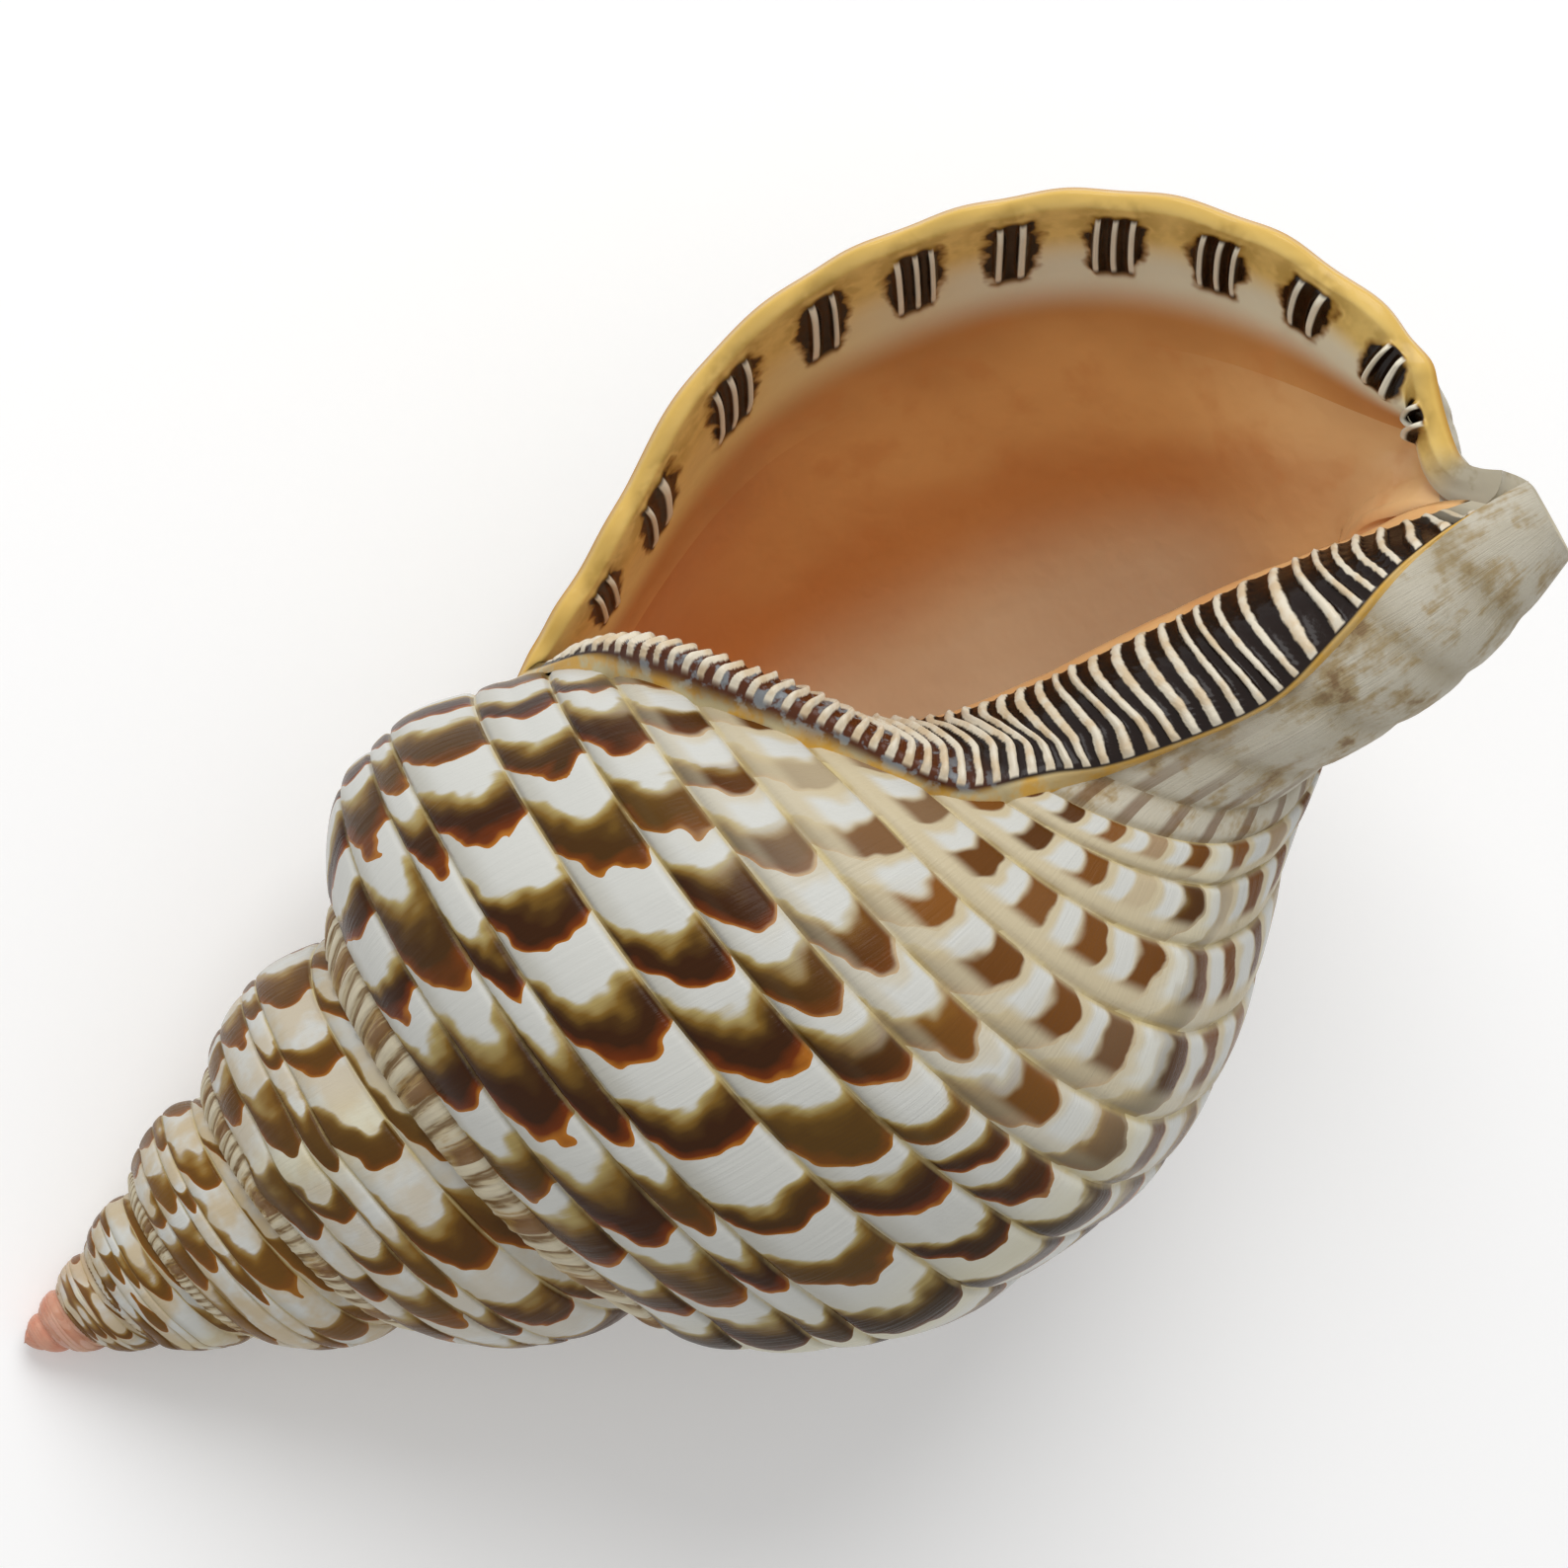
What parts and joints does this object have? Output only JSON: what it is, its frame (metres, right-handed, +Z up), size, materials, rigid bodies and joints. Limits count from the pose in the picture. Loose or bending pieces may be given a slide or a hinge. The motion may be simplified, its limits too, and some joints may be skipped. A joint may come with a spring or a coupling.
{
  "type": "triton shell",
  "caption": "Large spiral sea shell: tapering whorled spire, wide toothed mouth, ridged inner lip and short open canal.",
  "frame": {"origin": "on the resting surface, below the middle of the bounding box", "axes": "+Z up; +X along the shell towards the canal, the tip of the spire towards -X; the mouth faces up, its flared outer lip on the +Y side and its inner lip nearer -Y"},
  "size_m": [0.2556, 0.1524, 0.1218],
  "materials": {
    "shell": "smooth semi-gloss natural shell, cream to white with brown markings"
  },
  "bodies": {
    "root": {"triton_shell": "shell"}
  },
  "joints": []
}
